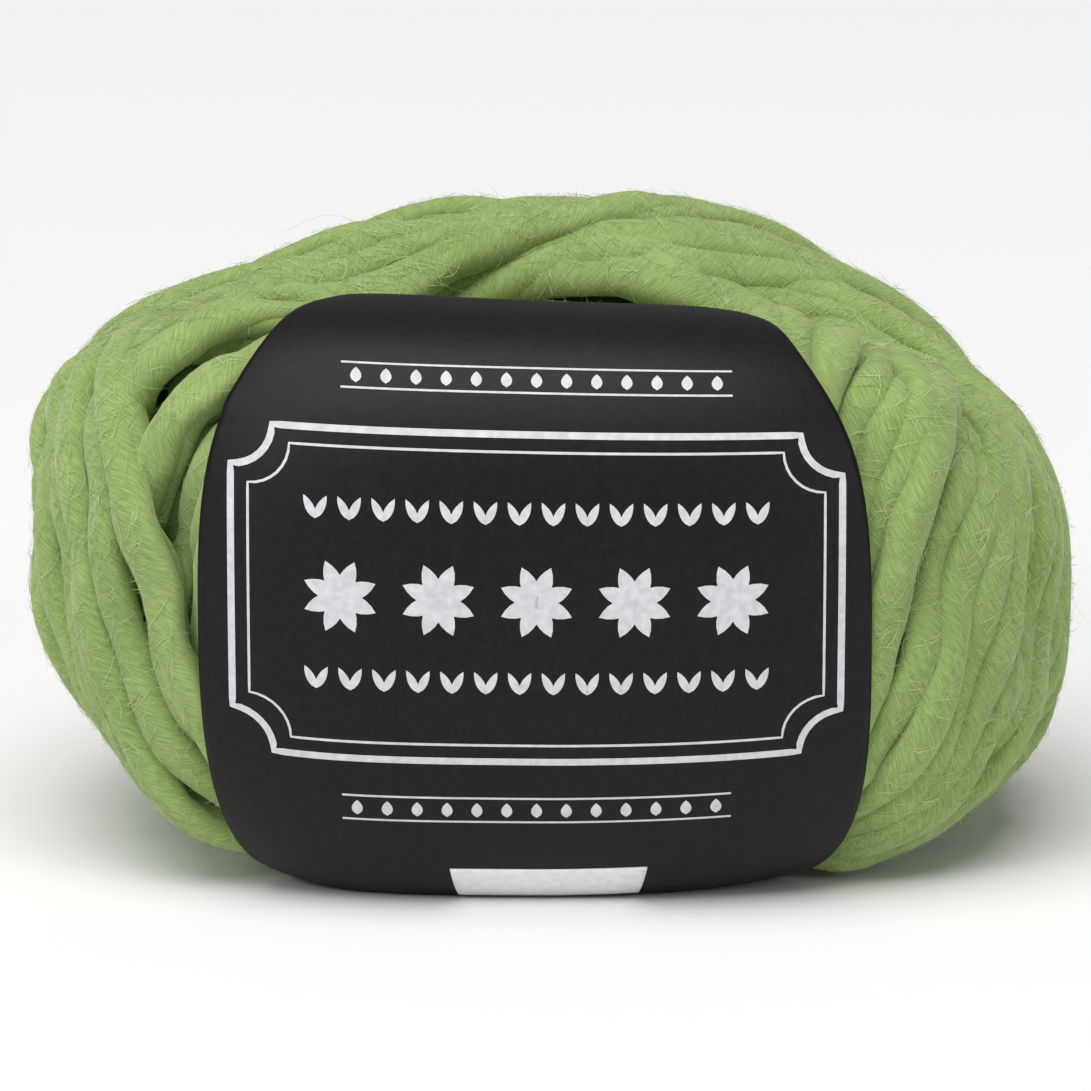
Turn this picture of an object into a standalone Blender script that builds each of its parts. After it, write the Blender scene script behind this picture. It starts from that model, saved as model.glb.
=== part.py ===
"""A ball of chunky roving yarn, wound as a soft ring with a narrow hole down its middle, in a black paper sleeve.

The yarn is one solid: a ring lofted round the hole, with its main turns as shallow grooves. The sleeve is a
closed paper loop that goes over the front of the ring and down through the hole. All lengths are in metres.
"""

import bpy
import numpy as np

MM = 0.001

# The ring, seen from above.
BALL_HALF_WIDTH = 70.3 * MM
BALL_HALF_DEPTH = 55.5 * MM
HOLE_HALF_WIDTH = 22.0 * MM
HOLE_HALF_DEPTH = 7.0 * MM
PLAN_POWER_FRONT = 2.7  # the sleeve presses the front nearly flat
PLAN_POWER_BACK = 2.2
SECTION_POWER = 2.7

# Top and bottom of the ring where it faces front, right, back and left.
TOP_FRONT, TOP_RIGHT, TOP_BACK, TOP_LEFT = 79.0 * MM, 62.0 * MM, 83.3 * MM, 72.0 * MM
BACK_LEAN = 2.0 * MM  # the back of the ring stands higher to the right of the hole than to its left
BOTTOM_FRONT, BOTTOM_RIGHT, BOTTOM_BACK, BOTTOM_LEFT = -1.0 * MM, 6.5 * MM, -1.2 * MM, 19.0 * MM
FRONT_RIGHT_LIFT = 4.5 * MM  # the underside rises a little towards the right end of the sleeve
SLEEVE_TAPER = 1.8 * MM  # the top of the sleeve falls by this much each way from left to right

# The main turns of the yarn.
MAIN_TURNS = 21
TURN_LEAN = 1
TURN_DEPTH = 1.4 * MM
FREE_YARN_BULGE = 2.2 * MM  # how far unpressed yarn stands out past the sleeve

# The sleeve and the sticker.
CLEARANCE = 0.3 * MM
PAPER = 0.5 * MM
LABEL_THICKNESS = 0.3 * MM
SLEEVE_LEFT = np.radians(-36.0)
SLEEVE_RIGHT = np.radians(31.5)
LEFT_SHOULDER_CUT = np.radians(2.5)
RIGHT_SHOULDER_CUT = np.radians(3.5)
RIGHT_LOW_FLARE = np.radians(1.2)
STICKER_HALF_WIDTH = np.radians(7.0)
STICKER_FROM, STICKER_TO = np.radians(-67.0), np.radians(-50.0)

AROUND, SECTION, ACROSS_SLEEVE = 126, 30, 13


def signed_power(value, power):
    return np.sign(value) * np.abs(value) ** power


def blend(turn, front, right, back, left, power=2.0):
    """A value that is `front`, `right`, `back` and `left` at the four quarters of the ring. A higher power keeps
    `front` and `back` for more of the way round."""
    side = np.abs(np.sin(turn)) ** power
    ends = np.where(np.sin(turn) > 0, right, left)
    return ends * side + np.where(np.cos(turn) > 0, front, back) * (1.0 - side)


def smooth_step(value, low, high):
    share = np.clip((value - low) / (high - low), 0.0, 1.0)
    return share * share * (3.0 - 2.0 * share)


def ring_surface(turn, lap):
    """The smooth ring. `turn` goes round the hole from the front, `lap` goes round the section from its outer side."""
    power = 2.0 / blend(turn, PLAN_POWER_FRONT, 2.4, PLAN_POWER_BACK, 2.4)
    across = signed_power(np.sin(turn), power)
    along = -signed_power(np.cos(turn), power)
    out = 0.5 + 0.5 * signed_power(np.cos(lap), 2.0 / SECTION_POWER)
    rise = signed_power(np.sin(lap), 2.0 / SECTION_POWER)
    front = np.maximum(np.cos(turn), 0.0)
    top_power = np.where(np.cos(turn) > 0, 4.5, 2.0)
    top = blend(turn, TOP_FRONT, TOP_RIGHT, TOP_BACK, TOP_LEFT, top_power) - SLEEVE_TAPER * across * front
    top = top - BACK_LEAN * np.sin(2.0 * turn) * (np.cos(turn) < 0)
    bottom = blend(turn, BOTTOM_FRONT, BOTTOM_RIGHT, BOTTOM_BACK, BOTTOM_LEFT, power=4.0)
    bottom = bottom + FRONT_RIGHT_LIFT * np.maximum(across, 0.0) ** 1.5 * front
    x = across * (HOLE_HALF_WIDTH + (BALL_HALF_WIDTH - HOLE_HALF_WIDTH) * out)
    y = along * (HOLE_HALF_DEPTH + (BALL_HALF_DEPTH - HOLE_HALF_DEPTH) * out)
    z = 0.5 * (top + bottom) + 0.5 * (top - bottom) * rise
    return np.stack(np.broadcast_arrays(x, y, z), axis=-1)


def ring_normal(turn, lap, step=1e-3):
    by_turn = ring_surface(turn + step, lap) - ring_surface(turn - step, lap)
    by_lap = ring_surface(turn, lap + step) - ring_surface(turn, lap - step)
    normal = np.cross(by_turn, by_lap)
    return normal / np.linalg.norm(normal, axis=-1, keepdims=True)


def raised(turn, lap, height, floor):
    """The ring's surface moved out by `height`, and cut flat at `floor`."""
    height = np.broadcast_to(height, np.broadcast(turn, lap).shape)[..., None]
    points = ring_surface(turn, lap) + ring_normal(turn, lap) * height
    points[..., 2] = np.maximum(points[..., 2], floor)
    return points


def loft(name, sections, capped=False):
    """One closed solid through unlike sections, each a closed loop. The row of sections closes too, unless capped."""
    rows, count, _ = sections.shape
    faces = []
    for row in range(rows - 1 if capped else rows):
        after = (row + 1) % rows
        for i in range(count):
            j = (i + 1) % count
            faces.append((row * count + i, after * count + i, after * count + j, row * count + j))
    if capped:
        faces.append(tuple(range(count)))
        faces.append(tuple((rows - 1) * count + i for i in reversed(range(count))))
    mesh = bpy.data.meshes.new(name)
    mesh.from_pydata(sections.reshape(-1, 3).tolist(), [], faces)
    mesh.update()
    thing = bpy.data.objects.new(name, mesh)
    bpy.context.scene.collection.objects.link(thing)
    return thing


def paint(thing, colour, roughness):
    material = bpy.data.materials.new(thing.name)
    material.use_nodes = True
    shader = material.node_tree.nodes["Principled BSDF"]
    shader.inputs["Base Color"].default_value = (*colour, 1.0)
    shader.inputs["Roughness"].default_value = roughness
    thing.data.materials.append(material)


def make_yarn_ball():
    """The ring with its main turns. Yarn under the sleeve is pressed in, and yarn beside it swells out."""
    turn = np.linspace(0.0, 2.0 * np.pi, AROUND, endpoint=False)[:, None]
    lap = np.linspace(0.0, 2.0 * np.pi, SECTION, endpoint=False)[None, :]
    groove = 0.5 - 0.5 * np.cos(MAIN_TURNS * turn + TURN_LEAN * lap)
    wrapped = np.angle(np.exp(1j * turn))
    past_edge = np.maximum(wrapped - SLEEVE_RIGHT, SLEEVE_LEFT - wrapped)
    free = smooth_step(past_edge, 0.05, 0.22) * (0.35 + 0.65 * (0.5 + 0.5 * np.cos(lap)))
    height = FREE_YARN_BULGE * free - TURN_DEPTH * groove * (0.35 + 0.65 * (free > 0))
    floor = np.where(past_edge > 0.05, 0.0, CLEARANCE + PAPER) + 0.0 * lap
    return loft("yarn_ball", raised(turn, lap, height, floor))


def thin_sheet_sections(left, right, lap, low, thickness, floor, count):
    """Thin closed sections that run from `left` to `right` on the outer face and back on the inner one."""
    share = np.linspace(0.0, 1.0, count)[None, :]
    turn = left + (right - left) * share
    lap = lap[:, None]
    outer = raised(turn, lap, low + thickness, floor)
    inner = raised(turn, lap, low, floor + thickness)
    return np.concatenate([inner, outer[:, ::-1]], axis=1)


def hump(lap, middle, spread):
    """1 at `middle`, falling away smoothly round the section."""
    off = np.angle(np.exp(1j * (lap - middle)))
    return np.exp(-((off / spread) ** 2))


def sleeve_edges(lap):
    """The cut edges of the paper. It is narrower over the top shoulder and a little wider low on the right."""
    shoulder = hump(lap, np.radians(63.0), np.radians(27.0))
    low = hump(lap, np.radians(-45.0), np.radians(35.0))
    return SLEEVE_LEFT + LEFT_SHOULDER_CUT * shoulder, SLEEVE_RIGHT - RIGHT_SHOULDER_CUT * shoulder + RIGHT_LOW_FLARE * low


def make_sleeve():
    lap = np.linspace(0.0, 2.0 * np.pi, SECTION, endpoint=False)
    left, right = (edge[:, None] for edge in sleeve_edges(lap))
    return loft("paper_sleeve", thin_sheet_sections(left, right, lap, CLEARANCE, PAPER, 0.0, ACROSS_SLEEVE))


def make_sticker():
    """A small plain sticker low on the front of the sleeve, just above the flat it rests on."""
    laps = np.linspace(0.0, 2.0 * np.pi, SECTION, endpoint=False) - 2.0 * np.pi
    inside = laps[(laps > STICKER_FROM) & (laps < STICKER_TO)]
    lap = np.concatenate([[STICKER_FROM], inside, [STICKER_TO]])
    low = CLEARANCE + PAPER + CLEARANCE
    return loft(
        "sticker",
        thin_sheet_sections(-STICKER_HALF_WIDTH, STICKER_HALF_WIDTH, lap, low, LABEL_THICKNESS, 0.0, 4),
        capped=True,
    )


for thing in list(bpy.data.objects):
    bpy.data.objects.remove(thing)

paint(make_yarn_ball(), (0.27, 0.46, 0.13), 0.95)
paint(make_sleeve(), (0.02, 0.019, 0.02), 0.6)
paint(make_sticker(), (0.85, 0.85, 0.87), 0.5)
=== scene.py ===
# %% [markdown]
# # A ball of roving yarn in a paper sleeve
#
# The ball is one long yarn wound round and round a ring with a narrow hole. This script plans the yarn's
# path, lays it down turn by turn so that later turns ride over earlier ones, sweeps a soft tube along it,
# and covers the tube with fine fibres. A black paper sleeve then goes over the front of the ring and down
# through the hole. Lengths are in metres, with `MM` for millimetres.

import bpy
import numpy as np
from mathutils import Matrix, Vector


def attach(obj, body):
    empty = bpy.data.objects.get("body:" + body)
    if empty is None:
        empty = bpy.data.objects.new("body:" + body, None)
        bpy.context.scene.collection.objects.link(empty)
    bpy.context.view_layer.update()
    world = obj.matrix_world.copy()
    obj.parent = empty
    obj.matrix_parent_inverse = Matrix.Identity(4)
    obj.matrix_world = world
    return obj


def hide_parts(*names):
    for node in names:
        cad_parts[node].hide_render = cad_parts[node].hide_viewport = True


MM = 0.001
DEG = np.pi / 180.0

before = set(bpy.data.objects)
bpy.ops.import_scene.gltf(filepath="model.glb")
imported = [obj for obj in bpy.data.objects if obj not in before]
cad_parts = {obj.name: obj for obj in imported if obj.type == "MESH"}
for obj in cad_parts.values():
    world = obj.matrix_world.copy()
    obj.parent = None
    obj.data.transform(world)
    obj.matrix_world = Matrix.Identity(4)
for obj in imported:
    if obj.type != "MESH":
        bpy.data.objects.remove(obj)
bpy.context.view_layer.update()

# %% [markdown]
# ## The ring
#
# Every piece lies on one smooth ring. `turn` is the angle round the hole, zero at the front and growing
# towards +X. `lap` is the angle round the ring's section, zero on its outer side and a quarter turn on
# top. Both the ring's plan and its section are superellipses, which gives full, soft shoulders.

# %% The ring's sizes
BALL_HALF_WIDTH, BALL_HALF_DEPTH = 70.3 * MM, 55.5 * MM
HOLE_HALF_WIDTH, HOLE_HALF_DEPTH = 22.0 * MM, 7.0 * MM
TOP_FLATNESS_FRONT, TOP_FLATNESS_BACK, BOTTOM_FLATNESS = 4.5, 2.0, 4.0
PLAN_POWER_FRONT, PLAN_POWER_SIDE, PLAN_POWER_BACK = 2.7, 2.4, 2.2
SECTION_POWER = 2.7
TOP_FRONT, TOP_RIGHT, TOP_BACK, TOP_LEFT = 79.0 * MM, 62.0 * MM, 83.3 * MM, 72.0 * MM
BOTTOM_FRONT, BOTTOM_RIGHT, BOTTOM_BACK, BOTTOM_LEFT = -1.0 * MM, 6.5 * MM, -1.2 * MM, 19.0 * MM
BACK_LEAN, SLEEVE_TAPER, FRONT_RIGHT_LIFT = 2.0 * MM, 1.8 * MM, 4.5 * MM
SLEEVE_LEFT, SLEEVE_RIGHT = -36.0 * DEG, 31.5 * DEG
LEFT_SHOULDER_CUT, RIGHT_SHOULDER_CUT, RIGHT_LOW_FLARE = 2.5 * DEG, 3.5 * DEG, 1.2 * DEG


def signed_power(value, power):
    """|value|^power, with the sign of value."""
    return np.sign(value) * np.abs(value) ** power


def smooth_step(value, low, high):
    """0 below `low`, 1 above `high`, and 3s^2 - 2s^3 between, with s the share of the way."""
    share = np.clip((value - low) / (high - low), 0.0, 1.0)
    return share * share * (3.0 - 2.0 * share)


def blend(turn, front, right, back, left, power=2.0):
    """`front`, `right`, `back` and `left` at the quarters: ends * |sin|^power + faces * (1 - |sin|^power)."""
    side = np.abs(np.sin(turn)) ** power
    ends = np.where(np.sin(turn) > 0, right, left)
    return ends * side + np.where(np.cos(turn) > 0, front, back) * (1.0 - side)


def plan_power(turn):
    """The plan's power at this turn, as 2 / (the superellipse's own power)."""
    return 2.0 / blend(turn, PLAN_POWER_FRONT, PLAN_POWER_SIDE, PLAN_POWER_BACK, PLAN_POWER_SIDE)


def ring_surface(turn, lap):
    """The smooth ring: hole + (ball - hole) * share out, and mid height + half height * rise."""
    power = plan_power(turn)
    across = signed_power(np.sin(turn), power)
    along = -signed_power(np.cos(turn), power)
    out = 0.5 + 0.5 * signed_power(np.cos(lap), 2.0 / SECTION_POWER)
    rise = signed_power(np.sin(lap), 2.0 / SECTION_POWER)
    front = np.maximum(np.cos(turn), 0.0)
    flatness = np.where(np.cos(turn) > 0, TOP_FLATNESS_FRONT, TOP_FLATNESS_BACK)
    top = blend(turn, TOP_FRONT, TOP_RIGHT, TOP_BACK, TOP_LEFT, flatness) - SLEEVE_TAPER * across * front
    top = top - BACK_LEAN * np.sin(2.0 * turn) * (np.cos(turn) < 0)
    bottom = blend(turn, BOTTOM_FRONT, BOTTOM_RIGHT, BOTTOM_BACK, BOTTOM_LEFT, BOTTOM_FLATNESS)
    bottom = bottom + FRONT_RIGHT_LIFT * np.maximum(across, 0.0) ** 1.5 * front
    x = across * (HOLE_HALF_WIDTH + (BALL_HALF_WIDTH - HOLE_HALF_WIDTH) * out)
    y = along * (HOLE_HALF_DEPTH + (BALL_HALF_DEPTH - HOLE_HALF_DEPTH) * out)
    z = 0.5 * (top + bottom) + 0.5 * (top - bottom) * rise
    return np.stack(np.broadcast_arrays(x, y, z), axis=-1)


def unit(vectors):
    """Each vector over its length."""
    return vectors / np.maximum(np.linalg.norm(vectors, axis=-1, keepdims=True), 1e-12)


def ring_slopes(turn, lap, step=2e-3):
    """How the surface moves, in metres per radian, as `turn` grows and as `lap` grows."""
    by_turn = (ring_surface(turn + step, lap) - ring_surface(turn - step, lap)) / (2.0 * step)
    by_lap = (ring_surface(turn, lap + step) - ring_surface(turn, lap - step)) / (2.0 * step)
    return by_turn, by_lap


def ring_normal(turn, lap):
    """The outward direction: the cross product of the two slopes, made one long."""
    by_turn, by_lap = ring_slopes(turn, lap)
    return unit(np.cross(by_turn, by_lap))


def past_sleeve_edge(turn):
    """How far round a place is past the sleeve's nearer edge, in radians: negative under the paper."""
    wrapped = np.angle(np.exp(1j * turn))
    return np.maximum(wrapped - SLEEVE_RIGHT, SLEEVE_LEFT - wrapped)


# %% [markdown]
# ## Small tools
#
# `Wander` is a smooth random curve: a sum of sines with seeded phases. `new_mesh` makes an object from
# arrays of points and quads, and can add UV maps, one row for each corner.

# %% Small tools
class Wander:
    """value(s) = sum of sin(2 pi s / period + phase) over periods near the given one, scaled to about 1."""

    def __init__(self, period, seed, waves=5):
        rng = np.random.default_rng(seed)
        self.periods = period * np.exp(rng.uniform(-0.7, 0.7, waves))
        self.phases = rng.uniform(0.0, 2.0 * np.pi, waves)

    def __call__(self, s):
        waves = np.sin(2.0 * np.pi * np.asarray(s)[..., None] / self.periods + self.phases)
        return waves.sum(axis=-1) / np.sqrt(0.5 * len(self.periods)) * 0.7


def new_mesh(name, points, quads, uv_maps=None):
    """An object at the origin whose mesh has these points and quads, shaded smooth."""
    mesh = bpy.data.meshes.new(name)
    quads = np.ascontiguousarray(quads, np.int32)
    mesh.vertices.add(len(points))
    mesh.vertices.foreach_set("co", np.ascontiguousarray(points, np.float32).ravel())
    mesh.loops.add(quads.size)
    mesh.loops.foreach_set("vertex_index", quads.ravel())
    mesh.polygons.add(len(quads))
    mesh.polygons.foreach_set("loop_start", np.arange(0, quads.size, 4, dtype=np.int32))
    mesh.polygons.foreach_set("use_smooth", np.ones(len(quads), bool))
    for title, uv in (uv_maps or {}).items():
        layer = mesh.uv_layers.new(name=title)
        layer.data.foreach_set("uv", np.ascontiguousarray(uv, np.float32).ravel())
    mesh.update(calc_edges=True)
    thing = bpy.data.objects.new(name, mesh)
    bpy.context.scene.collection.objects.link(thing)
    return thing


def grid_quads(rows, columns, wrap_rows=False, wrap_columns=False):
    """Corner numbers of the quads between neighbours on a grid whose points are numbered row by row."""
    row = np.arange(rows if wrap_rows else rows - 1)[:, None]
    column = np.arange(columns if wrap_columns else columns - 1)[None, :]
    next_row, next_column = (row + 1) % rows, (column + 1) % columns
    corners = (
        row * columns + column,
        row * columns + next_column,
        next_row * columns + next_column,
        next_row * columns + column,
    )
    return np.stack(corners, -1).reshape(-1, 4)


# %% [markdown]
# ## Planning the yarn's path
#
# A winder lays the yarn in steep tilted loops. Each loop passes close by the hole on top, comes down one
# side, passes the hole below and climbs the other side, and each lies a little further round than the
# last. On a sphere such a loop is a great circle: sin(latitude) = sin(tilt) sin(angle). Latitude is then
# stretched onto `lap`. The lowest point of the last loops is at the front, so the turns at both ends lean
# in under the sleeve.

# %% The path
LOOPS = 118
POINTS_IN_A_LOOP = 420
LOOP_TILT, TILT_WANDER = 67.0 * DEG, 2.5 * DEG
LOOP_REACH, REACH_WANDER = 109.0 * DEG, 13.0 * DEG  # how far round the section a loop climbs and dips
LOOP_ADVANCE = 5.15 * DEG
LAST_LOW_POINT, SLOW_DRIFT, QUICK_DRIFT = 50.0 * DEG, 2.1 * DEG, 1.2 * DEG
LINING_TURNS = 15
LINING_START, LINING_SPAN, LINING_WANDER = 112.0, 136.0, 1.5  # degrees round the section
STEP = 2.2 * MM
STRAND_HALF_WIDTH, STRAND_HALF_HEIGHT = 3.1 * MM, 2.35 * MM


def even_steps(turn, lap, step):
    """The same path, with its points `step` apart on the ring."""
    points = ring_surface(turn, lap)
    reach = np.concatenate([[0.0], np.cumsum(np.linalg.norm(np.diff(points, axis=0), axis=1))])
    along = np.arange(0.0, reach[-1], step)
    return np.interp(along, reach, turn), np.interp(along, reach, lap), along


def main_winding():
    """The long path of tilted loops, from the first that shows to the last."""
    loop = np.linspace(0.0, LOOPS, LOOPS * POINTS_IN_A_LOOP)
    angle = 2.0 * np.pi * loop
    low_point = LAST_LOW_POINT - LOOP_ADVANCE * (LOOPS - loop)
    low_point = low_point + SLOW_DRIFT * Wander(1.31, 11)(loop) + QUICK_DRIFT * Wander(0.42, 12)(loop)
    tilt = LOOP_TILT + TILT_WANDER * Wander(2.3, 13)(loop)
    latitude = np.arcsin(np.sin(tilt) * np.sin(angle))
    advance = np.unwrap(np.arctan2(np.cos(tilt) * np.sin(angle), np.cos(angle)))
    turn = low_point + 0.5 * np.pi + advance
    reach = LOOP_REACH + REACH_WANDER * Wander(2.6, 14)(loop)
    return even_steps(turn, reach * latitude / tilt, STEP)


def hole_lining():
    """Turns round the wall of the hole, one below the other, which close it off behind the passing loops."""
    share = np.linspace(0.0, 1.0, LINING_TURNS * 300)
    turn = 2.0 * np.pi * LINING_TURNS * share
    lap = (LINING_START + LINING_SPAN * share) * DEG + LINING_WANDER * DEG * Wander(0.09, 21)(share)
    return even_steps(turn, lap, STEP)


# %% [markdown]
# ## Laying the yarn down
#
# The laying keeps a map of how high the yarn already stands over every place on the ring. Each short
# stretch reads the height under it, smooths it, since yarn is too stiff to dip into a narrow gap, lies
# down on that, and adds itself to the map. Loops crowd near the hole, so at the end the heights there are
# pressed together.

# %% Laying
TURN_CELLS, LAP_CELLS = 480, 300
LEAST_SCALE = 4 * MM  # metres per radian, so that a path near the hole's rim doesn't jump
PRESSED = 0.60  # crossing yarns sink into each other, to this share of their height
STRETCH, REMEMBERED = 36, 8  # points laid at a time, and how many of them the next stretch leans on
HIGHEST_FELT, STIFFNESS, PEAK_BLUR = 3, 1.6, 0.55
UNDER_PAPER, FREE_YARN_RISE, FREE_YARN_BULGE = 0.9 * MM, 1.2 * MM, 2.2 * MM
PAPER_CLEAR, CEILING_RISE = 0.1 * MM, 4.5 * MM
DEEPEST_PILE = 17.0 * MM


def cells(turn, lap):
    """The map's cell at each place, wrapping round both ways."""
    i = np.floor(turn / (2.0 * np.pi) * TURN_CELLS).astype(int) % TURN_CELLS
    j = np.floor(lap / (2.0 * np.pi) * LAP_CELLS).astype(int) % LAP_CELLS
    return i, j


def blur_line(values, width):
    """A Gaussian blur along a line whose ends are held."""
    reach = int(3 * width)
    kernel = np.exp(-0.5 * (np.arange(-reach, reach + 1) / width) ** 2)
    padded = np.pad(values, reach, mode="edge")
    return np.convolve(padded, kernel / kernel.sum(), mode="valid")


def blur_map(heights, wide, tall):
    """A Gaussian blur that wraps round both ways."""
    fi = np.fft.fftfreq(heights.shape[0])[:, None]
    fj = np.fft.fftfreq(heights.shape[1])[None, :]
    kernel = np.exp(-2.0 * np.pi**2 * ((fi * wide) ** 2 + (fj * tall) ** 2))
    return np.real(np.fft.ifft2(np.fft.fft2(heights) * kernel))


def sideways(turn, lap):
    """Steps in turn and in lap that together move one metre to the side of the path."""
    by_turn, by_lap = ring_slopes(turn, lap)
    scale_turn = np.linalg.norm(by_turn, axis=-1)
    scale_lap = np.linalg.norm(by_lap, axis=-1)
    run_turn = np.gradient(turn) * scale_turn
    run_lap = np.gradient(lap) * scale_lap
    length = np.maximum(np.hypot(run_turn, run_lap), 1e-9)
    side_turn = -run_lap / length / np.maximum(scale_turn, LEAST_SCALE)
    side_lap = run_turn / length / np.maximum(scale_lap, LEAST_SCALE)
    return side_turn, side_lap


def under_strand(heights_felt, last):
    """The height a stretch rests on: the mean of the highest places felt, blurred along the stretch."""
    under = np.sort(heights_felt, axis=1)[:, -HIGHEST_FELT:].mean(axis=1)
    if last is None:
        known = 0
    else:
        known = len(last)
        under = np.concatenate([last, under])
    smooth = blur_line(under, STIFFNESS)
    smooth = np.maximum(smooth, PEAK_BLUR * smooth + (1.0 - PEAK_BLUR) * under)
    return smooth[known:], under[-REMEMBERED:]


def press_in(height_map, turn, lap, side_turn, side_lap, top):
    """Adds a stretch's rounded back to the map: its top less the half height times 1 - sqrt(1 - off^2)."""
    off = np.linspace(-1.0, 1.0, 13)
    bow = np.sqrt(np.maximum(0.0, 1.0 - off**2))
    index = np.arange(len(top))
    fine = np.linspace(0, len(top) - 1, 3 * len(top))
    turn, lap, side_turn, side_lap, top = (
        np.interp(fine, index, line)[:, None] for line in (turn, lap, side_turn, side_lap, top)
    )
    place = cells(turn + off * STRAND_HALF_WIDTH * side_turn, lap + off * STRAND_HALF_WIDTH * side_lap)
    np.maximum.at(height_map, place, top - STRAND_HALF_HEIGHT * (1.0 - bow[None, :]))


def lay(turn, lap, height_map):
    """Lays one path down and returns the height of its top, at each point."""
    side_turn, side_lap = sideways(turn, lap)
    tops = np.zeros(len(turn))
    feel = np.linspace(-0.72, 0.72, 5) * STRAND_HALF_WIDTH
    last = None
    for start in range(0, len(turn), STRETCH):
        part = slice(start, start + STRETCH)
        place = cells(
            turn[part, None] + feel * side_turn[part, None], lap[part, None] + feel * side_lap[part, None]
        )
        under, last = under_strand(height_map[place], last)
        tops[part] = under + 2.0 * STRAND_HALF_HEIGHT * PRESSED
        press_in(height_map, turn[part], lap[part], side_turn[part], side_lap[part], tops[part])
    return tops


def rest_level(turn, lap):
    """Where the top of the yarn lies over the smooth ring: pressed in under the paper, swollen beside it."""
    free = smooth_step(past_sleeve_edge(turn), 0.03, 0.20)
    outer = 0.35 + 0.65 * (0.5 + 0.5 * np.cos(lap))
    return -UNDER_PAPER + free * (FREE_YARN_RISE + FREE_YARN_BULGE * outer)


def sleeve_ceiling(turn):
    """The most that yarn may stand over the smooth ring near the paper."""
    return -PAPER_CLEAR + CEILING_RISE * smooth_step(past_sleeve_edge(turn), 0.005, 0.09)


# %% Lay both paths
height_map = np.zeros((TURN_CELLS, LAP_CELLS))
paths = []
for turn, lap, along in (hole_lining(), main_winding()):
    paths.append((turn, lap, along, lay(turn, lap, height_map)))
settled = blur_map(height_map, 7.0, 7.0)
print("deepest pile", round(height_map.max() / MM, 1), "mm")

# %% [markdown]
# ## Sweeping the tube
#
# A stretch that is buried, or deep under the paper, isn't made. What is left is cut into runs, and each
# run is a tube with a soft oval section whose size wanders a little, as loosely spun yarn does.

# %% The strand's frame
SIDES = 14
BURIED, UNDER_SLEEVE = -7.5 * MM, -0.13  # deeper, or further under the paper in radians, it isn't made
DEEPEST, HIGHEST, SOFT_CEILING = 14 * MM, 2.0 * MM, 0.6 * MM


def strand_frames(turn, lap, along, tops, seed):
    """Centre, normal, sideways direction and half sizes of the strand at each point, and whether it shows."""
    pile = settled[cells(turn, lap)]
    squeeze = np.minimum(1.0, DEEPEST_PILE / np.maximum(pile, 1 * MM))
    depth = np.clip((tops - pile) * squeeze, -DEEPEST, HIGHEST)
    depth = blur_line(depth, 1.0)
    ceiling = sleeve_ceiling(turn)
    wanted = rest_level(turn, lap) + depth
    give = SOFT_CEILING * np.exp(-np.abs(wanted - ceiling) / SOFT_CEILING) * 0.3
    top = np.minimum(wanted, ceiling) - give
    plump = 1.0 + 0.10 * Wander(0.031, seed)(along) + 0.05 * Wander(0.009, seed + 1)(along)
    half_height = STRAND_HALF_HEIGHT * plump
    half_width = STRAND_HALF_WIDTH * (1.0 + 0.10 * Wander(0.023, seed + 2)(along))
    normal = ring_normal(turn, lap)
    centre = ring_surface(turn, lap) + normal * (top - half_height)[:, None]
    ahead = unit(np.gradient(centre, axis=0))
    side = unit(np.cross(normal, ahead))
    normal = unit(np.cross(ahead, side))
    shows = (depth > BURIED) & (past_sleeve_edge(turn) > UNDER_SLEEVE)
    return centre, normal, side, half_width, half_height, shows


def runs_of(shows, least=4):
    """(first, last) of each unbroken stretch that shows, last not included."""
    edges = np.diff(np.concatenate([[0], shows.astype(int), [0]]))
    pairs = zip(np.flatnonzero(edges == 1), np.flatnonzero(edges == -1))
    return [(a, b) for a, b in pairs if b - a >= least]


# %% Cut the paths into runs
strands = []  # one dict for each run
for number, (turn, lap, along, tops) in enumerate(paths):
    seed = 31 + 10 * number
    centre, normal, side, half_width, half_height, shows = strand_frames(turn, lap, along, tops, seed)
    for a, b in runs_of(shows):
        cut = slice(max(a - 1, 0), b + 1)
        strands.append(
            {
                "centre": centre[cut],
                "normal": normal[cut],
                "side": side[cut],
                "wide": half_width[cut],
                "high": half_height[cut],
                "along": along[cut],
                "turn": turn[cut],
            }
        )

lengths = np.array([s["along"][-1] - s["along"][0] for s in strands])
print(len(strands), "runs,", round(lengths.sum(), 1), "m of yarn that shows")

# %% The skin of a run
FLOOR_CLEAR = 0.15 * MM
TWIST = 2.0 * np.pi / (26.0 * MM)
GIRTH = 2.0 * np.pi * 2.75 * MM
RIDGES, RIDGE_HEIGHT = 3.0, 0.045
OVAL_POWER = 0.9


def tube_points(strand):
    """An oval of SIDES points at each place, 1 + RIDGE_HEIGHT cos(RIDGES angle + twist) times its size."""
    around = np.linspace(0.0, 2.0 * np.pi, SIDES, endpoint=False)
    ends = np.minimum(np.arange(len(strand["along"])), np.arange(len(strand["along"]))[::-1])
    taper = np.sqrt(np.clip((ends + 0.15) / 2.2, 0.0, 1.0))[:, None]
    ridge = 1.0 + RIDGE_HEIGHT * np.cos(RIDGES * around[None, :] + TWIST * strand["along"][:, None])
    x = strand["wide"][:, None] * signed_power(np.cos(around), OVAL_POWER)[None, :] * ridge * taper
    y = strand["high"][:, None] * signed_power(np.sin(around), OVAL_POWER)[None, :] * ridge * taper
    across, up = strand["side"][:, None], strand["normal"][:, None]
    points = strand["centre"][:, None] + x[..., None] * across + y[..., None] * up
    points[..., 2] = np.maximum(points[..., 2], FLOOR_CLEAR)
    return points


def box_corners(x0, x1, y0, y1):
    """The four corners of each quad in a UV map, in the order of its points."""
    corners = ((x0, y0), (x0, y1), (x1, y1), (x1, y0))
    return np.stack([np.stack(np.broadcast_arrays(*corner), -1) for corner in corners], 2).reshape(-1, 2)


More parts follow.
